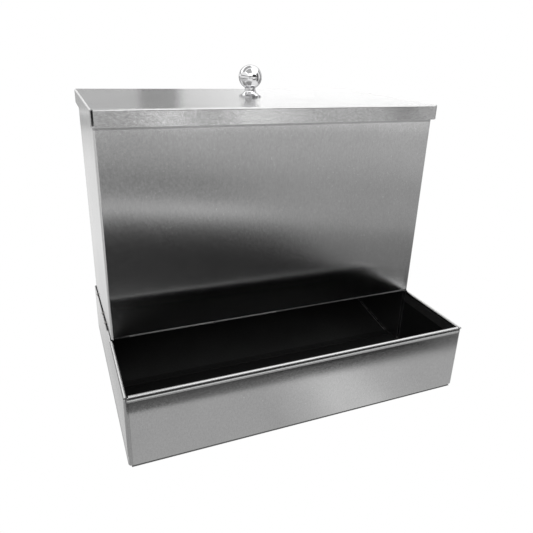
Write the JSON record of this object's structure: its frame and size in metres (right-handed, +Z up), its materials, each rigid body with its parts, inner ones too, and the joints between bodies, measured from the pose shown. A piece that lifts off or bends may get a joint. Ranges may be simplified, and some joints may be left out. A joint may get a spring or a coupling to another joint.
{
  "type": "gravity poultry feeder",
  "caption": "Folded sheet-metal hopper standing in a shallow tray, with a sloping feed ramp, an open trough in front and a lift-off lid with a ball knob.",
  "frame": {"origin": "centre of the tray's underside, on the ground", "axes": "+Z up, -Y towards the open trough, +X along the feeder's length, to the right as seen from the trough"},
  "size_m": [0.4014, 0.3232, 0.3706],
  "materials": {
    "tray_steel": "brushed upright",
    "hopper_steel": "brushed upright",
    "lid_steel": "brushed left to right",
    "ramp_steel": "dull mill finish",
    "weld": "brushed-off weld",
    "knob_chrome": "polished",
    "fixing_steel": "plain zinc"
  },
  "bodies": {
    "feeder": {"tray_body": "tray_steel", "tray_side_left": "tray_steel", "tray_side_right": "tray_steel", "seam_weld_left": "weld", "seam_weld_right": "weld", "hopper_wrap": "hopper_steel", "hopper_back": "hopper_steel", "back_spots_left": "weld", "back_spots_right": "weld", "tray_tacks_left": "weld", "tray_tacks_right": "weld", "feed_ramp": "ramp_steel", "ramp_tacks_left": "weld", "ramp_tacks_right": "weld", "ramp_spots": "weld"},
    "lid": {"lid_pan": "lid_steel", "knob_rosette": "knob_chrome", "knob_body": "knob_chrome", "knob_washer": "fixing_steel", "knob_screw": "fixing_steel"}
  },
  "joints": [
    {"name": "lid_lift", "type": "slide", "parent": "feeder", "child": "lid", "axis": [0, 0, 1], "range_m": [0, 0.12]}
  ]
}
